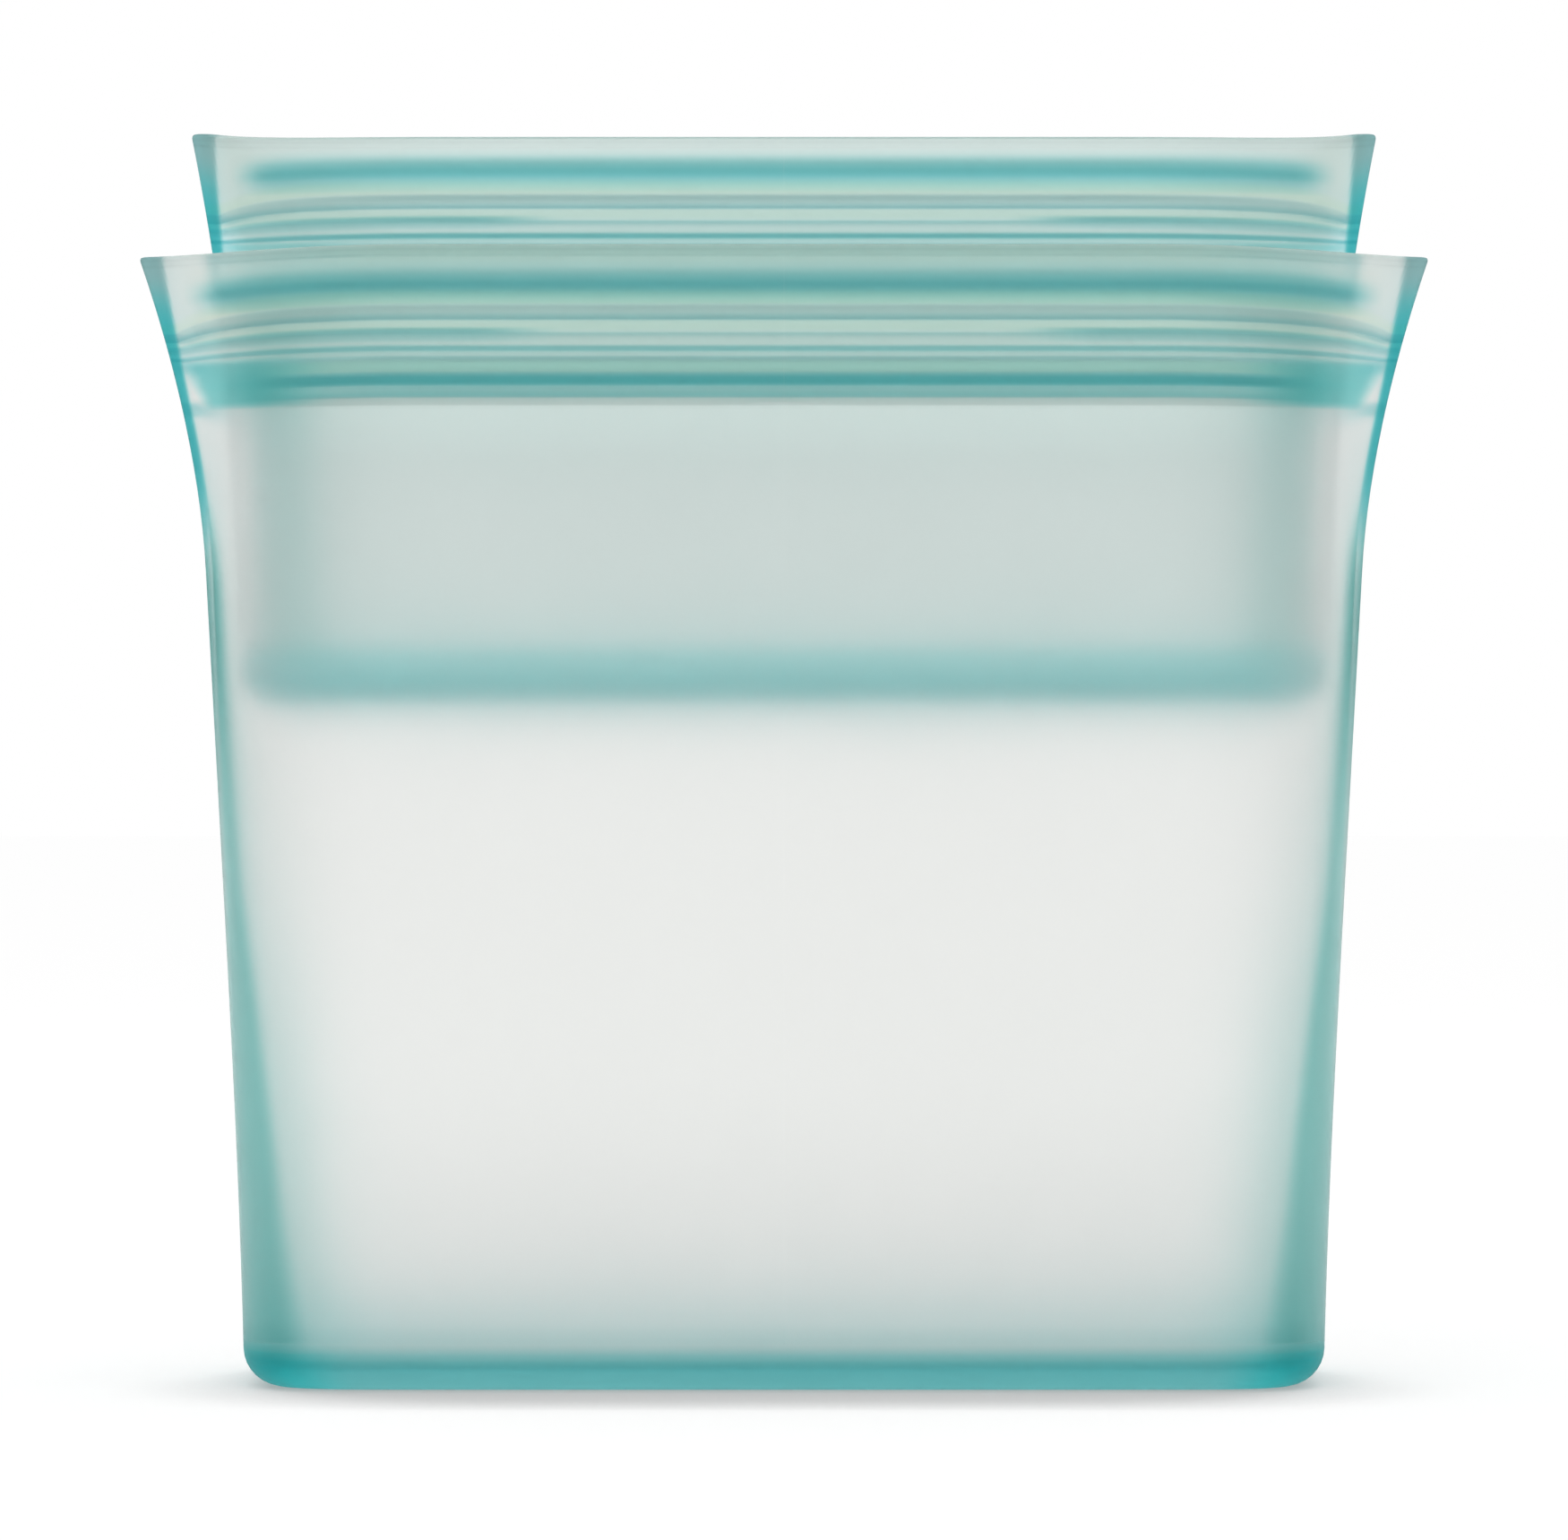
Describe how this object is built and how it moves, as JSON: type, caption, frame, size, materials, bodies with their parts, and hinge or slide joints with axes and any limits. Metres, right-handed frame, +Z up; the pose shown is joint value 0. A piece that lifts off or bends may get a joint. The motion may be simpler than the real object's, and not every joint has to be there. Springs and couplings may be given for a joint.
{
  "type": "reusable silicone bag",
  "caption": "Frosted teal silicone zip bag that stands open on a flat base, with a smaller matching bag nested in its mouth that lifts out; both mouths press shut.",
  "frame": {"origin": "on the floor, under the middle of the large bag's base", "axes": "+X along the mouth to the right, -Y the front wall, +Z up"},
  "size_m": [0.197, 0.056, 0.1898],
  "materials": {
    "bag_silicone": "frosted translucent",
    "zip_silicone": "frosted translucent"
  },
  "bodies": {
    "large_base": {"large_base": "bag_silicone", "large_left_gusset": "bag_silicone", "large_right_gusset": "bag_silicone", "large_left_mouth_corner": "bag_silicone", "large_right_mouth_corner": "bag_silicone"},
    "large_front": {"large_front_wall": "bag_silicone", "large_front_lip": "bag_silicone", "large_front_zip_bead": "zip_silicone", "large_front_guide_ribs": "zip_silicone", "large_front_grip_rib": "zip_silicone", "large_front_lip_rim": "zip_silicone"},
    "large_back": {"large_back_wall": "bag_silicone", "large_back_lip": "bag_silicone", "large_back_zip_upper_jaw": "zip_silicone", "large_back_zip_lower_jaw": "zip_silicone", "large_back_grip_rib": "zip_silicone"},
    "small_base": {"small_base": "bag_silicone", "small_left_gusset": "bag_silicone", "small_right_gusset": "bag_silicone", "small_left_mouth_corner": "bag_silicone", "small_right_mouth_corner": "bag_silicone"},
    "small_front": {"small_front_wall": "bag_silicone", "small_front_lip": "bag_silicone", "small_front_zip_bead": "zip_silicone", "small_front_guide_ribs": "zip_silicone", "small_front_grip_rib": "zip_silicone", "small_front_lip_rim": "zip_silicone"},
    "small_back": {"small_back_wall": "bag_silicone", "small_back_lip": "bag_silicone", "small_back_zip_upper_jaw": "zip_silicone", "small_back_zip_lower_jaw": "zip_silicone", "small_back_grip_rib": "zip_silicone"}
  },
  "joints": [
    {"name": "small_bag_lift", "type": "slide", "parent": "large_base", "child": "small_base", "axis": [0, 0, 1], "range_m": [0, 0.25]},
    {"name": "large_front_close", "type": "hinge", "parent": "large_base", "child": "large_front", "pos_m": [0, -0.02636, 0.00715], "axis": [-1, 0, 0], "range_deg": [0, 8.15], "deforming": ["large_left_gusset", "large_right_gusset", "large_left_mouth_corner", "large_right_mouth_corner"]},
    {"name": "large_back_close", "type": "hinge", "parent": "large_base", "child": "large_back", "pos_m": [0, 0.02636, 0.00715], "axis": [1, 0, 0], "range_deg": [0, 8.15]},
    {"name": "small_front_close", "type": "hinge", "parent": "small_base", "child": "small_front", "pos_m": [0, -0.01369, 0.10925], "axis": [-1, 0, 0], "range_deg": [0, 16.5], "stiffness_Nm_per_rad": 0.03, "deforming": ["small_left_gusset", "small_right_gusset", "small_left_mouth_corner", "small_right_mouth_corner"]},
    {"name": "small_back_close", "type": "hinge", "parent": "small_base", "child": "small_back", "pos_m": [0, 0.01369, 0.10925], "axis": [1, 0, 0], "range_deg": [0, 16.5]}
  ],
  "couplings": [
    {"joint": "large_front_close", "follows": "small_bag_lift", "rad_per_m": 0.5689},
    {"joint": "large_back_close", "follows": "small_bag_lift", "rad_per_m": 0.5689},
    {"joint": "small_back_close", "follows": "small_front_close", "ratio": 1}
  ]
}
